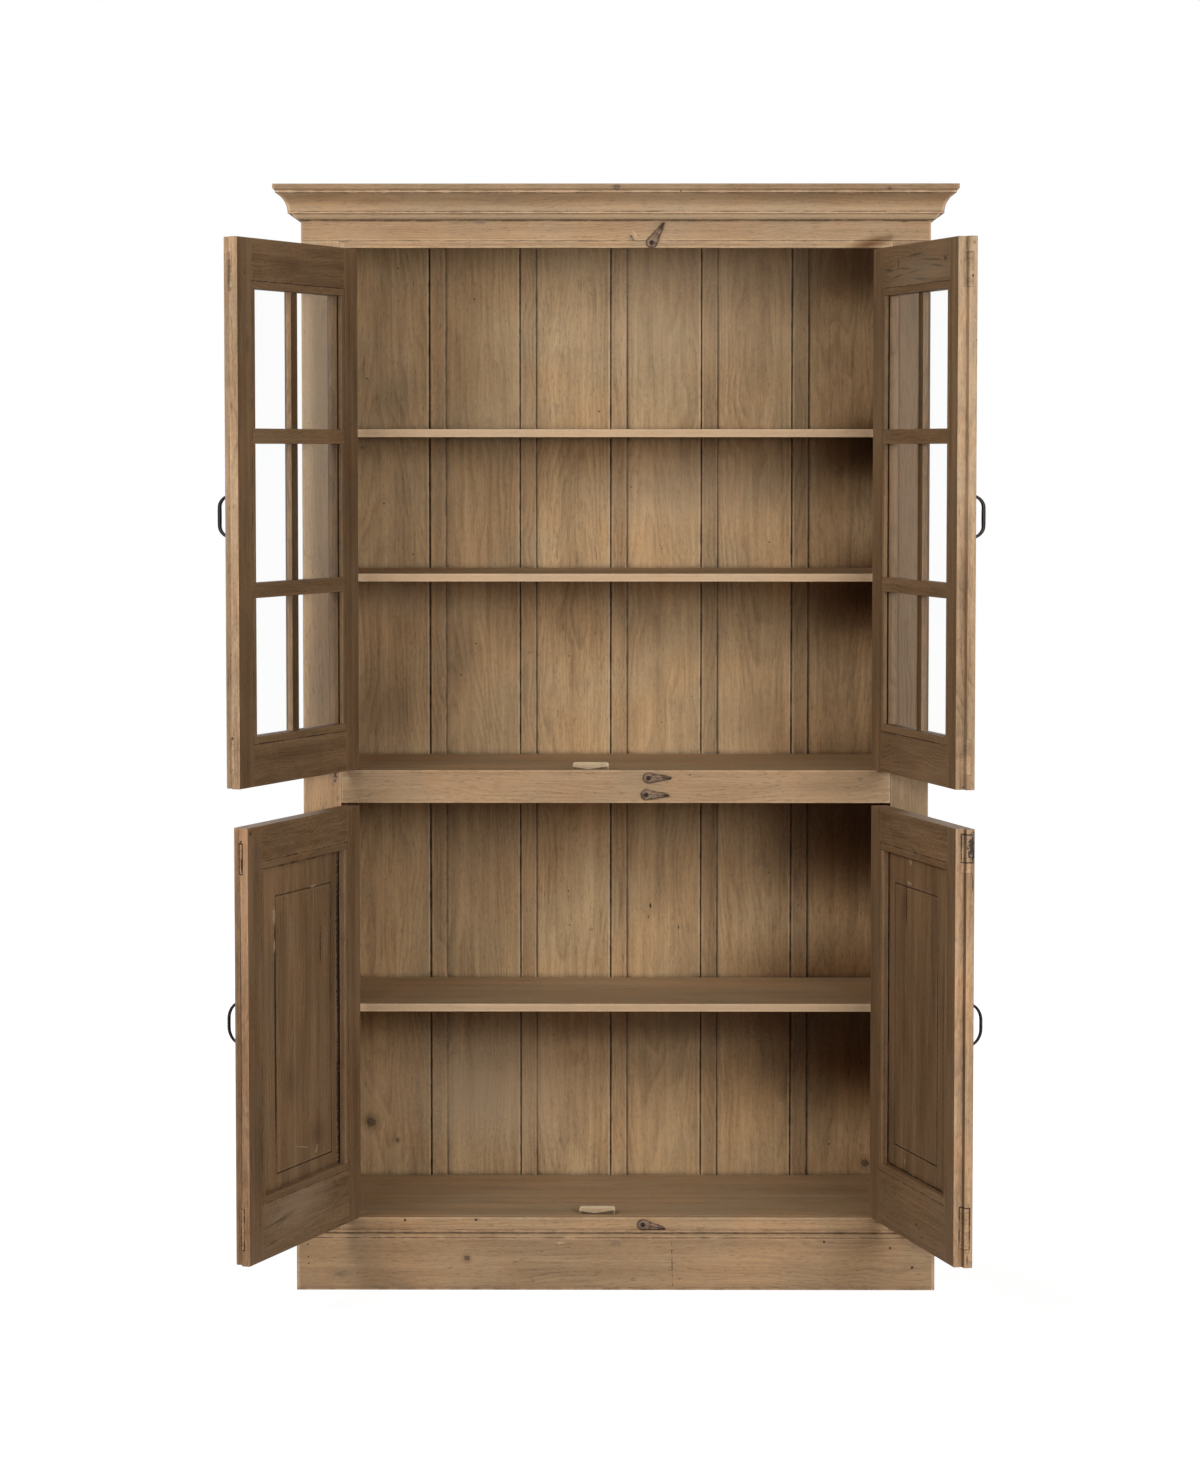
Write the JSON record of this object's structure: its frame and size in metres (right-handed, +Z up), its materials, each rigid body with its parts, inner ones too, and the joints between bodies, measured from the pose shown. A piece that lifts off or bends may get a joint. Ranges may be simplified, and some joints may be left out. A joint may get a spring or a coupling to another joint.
{
  "type": "wooden cabinet",
  "caption": "Tall wooden cabinet with glazed doors over panelled doors, shelves inside, a moulded crown, a plinth and turn buttons.",
  "frame": {"origin": "on the floor, at the centre of the underside of the front plinth board", "axes": "+Z up; the front with the doors faces -Y; +X is to the right seen from the front"},
  "size_m": [1.2993, 0.9655, 1.991],
  "materials": {
    "carcase_wood": "matte waxed pine",
    "back_wood": "matte dark stained boards",
    "shelf_wood": "matte worn pine",
    "moulding_wood": "matte waxed pine",
    "door_wood": "matte waxed pine",
    "panel_wood": "matte waxed pine",
    "bead_wood": "matte waxed pine",
    "glass": "clear old glass",
    "hinge_iron": "dark worn iron",
    "pull_iron": "black waxed iron",
    "button_iron": "aged brown iron",
    "screw_steel": "dull aged steel"
  },
  "bodies": {
    "cabinet": {"left_side": "carcase_wood", "right_side": "carcase_wood", "left_stile": "carcase_wood", "right_stile": "carcase_wood", "frieze_board": "carcase_wood", "top_rail": "carcase_wood", "mid_rail": "carcase_wood", "bottom_rail": "carcase_wood", "crown_moulding": "moulding_wood", "plinth": "moulding_wood", "plinth_cap": "moulding_wood", "top_board": "moulding_wood", "upper_floor": "shelf_wood", "lower_floor": "shelf_wood", "upper_shelves": "shelf_wood", "lower_shelf": "shelf_wood", "shelf_cleats": "shelf_wood", "back_boards": "back_wood", "door_stops": "shelf_wood", "frame_hinge_leaves": "hinge_iron", "hinge_pins": "hinge_iron", "button_screws": "screw_steel"},
    "upper_left_door": {"upper_left_hinge_stile": "door_wood", "upper_left_meeting_stile": "door_wood", "upper_left_top_rail": "door_wood", "upper_left_bottom_rail": "door_wood", "upper_left_glazing_bars": "bead_wood", "upper_left_glazing_beads": "bead_wood", "upper_left_glass_panes": "glass", "upper_left_hinge_leaves": "hinge_iron", "upper_left_pull": "pull_iron"},
    "upper_right_door": {"upper_right_hinge_stile": "door_wood", "upper_right_meeting_stile": "door_wood", "upper_right_top_rail": "door_wood", "upper_right_bottom_rail": "door_wood", "upper_right_glazing_bars": "bead_wood", "upper_right_glazing_beads": "bead_wood", "upper_right_glass_panes": "glass", "upper_right_hinge_leaves": "hinge_iron", "upper_right_pull": "pull_iron"},
    "lower_left_door": {"lower_left_hinge_stile": "door_wood", "lower_left_meeting_stile": "door_wood", "lower_left_top_rail": "door_wood", "lower_left_bottom_rail": "door_wood", "lower_left_panel": "panel_wood", "lower_left_panel_beads": "bead_wood", "lower_left_hinge_leaves": "hinge_iron", "lower_left_pull": "pull_iron"},
    "lower_right_door": {"lower_right_hinge_stile": "door_wood", "lower_right_meeting_stile": "door_wood", "lower_right_top_rail": "door_wood", "lower_right_bottom_rail": "door_wood", "lower_right_panel": "panel_wood", "lower_right_panel_beads": "bead_wood", "lower_right_hinge_leaves": "hinge_iron", "lower_right_pull": "pull_iron"},
    "top_turn_button": {"top_turn_button": "button_iron"},
    "mid_upper_turn_button": {"mid_upper_turn_button": "button_iron"},
    "mid_lower_turn_button": {"mid_lower_turn_button": "button_iron"},
    "bottom_turn_button": {"bottom_turn_button": "button_iron"}
  },
  "joints": [
    {"name": "upper_left_door_hinge", "type": "hinge", "parent": "cabinet", "child": "upper_left_door", "pos_m": [-0.49375, 0.0025, 1.412], "axis": [0, 0, 1], "range_deg": [-64.7, 110.3]},
    {"name": "upper_right_door_hinge", "type": "hinge", "parent": "cabinet", "child": "upper_right_door", "pos_m": [0.49375, 0.0025, 1.412], "axis": [0, 0, 1], "range_deg": [-103.6, 71.4]},
    {"name": "lower_left_door_hinge", "type": "hinge", "parent": "cabinet", "child": "lower_left_door", "pos_m": [-0.49375, 0.0025, 0.5075], "axis": [0, 0, 1], "range_deg": [-66.2, 108.8]},
    {"name": "lower_right_door_hinge", "type": "hinge", "parent": "cabinet", "child": "lower_right_door", "pos_m": [0.49375, 0.0025, 0.5075], "axis": [0, 0, 1], "range_deg": [-103.7, 71.3]},
    {"name": "top_turn_button_pivot", "type": "hinge", "parent": "cabinet", "child": "top_turn_button", "pos_m": [0.064, 0.0052, 1.8888], "axis": [0, -1, 0], "range_deg": [-230, 4]},
    {"name": "mid_upper_turn_button_pivot", "type": "hinge", "parent": "cabinet", "child": "mid_upper_turn_button", "pos_m": [0.059, 0.0052, 0.93], "axis": [0, -1, 0], "range_deg": [-4, 184]},
    {"name": "mid_lower_turn_button_pivot", "type": "hinge", "parent": "cabinet", "child": "mid_lower_turn_button", "pos_m": [0.055, 0.0052, 0.8998], "axis": [0, -1, 0], "range_deg": [-182, 5]},
    {"name": "bottom_turn_button_pivot", "type": "hinge", "parent": "cabinet", "child": "bottom_turn_button", "pos_m": [0.0495, 0.0052, 0.1173], "axis": [0, -1, 0], "range_deg": [0, 202]}
  ]
}
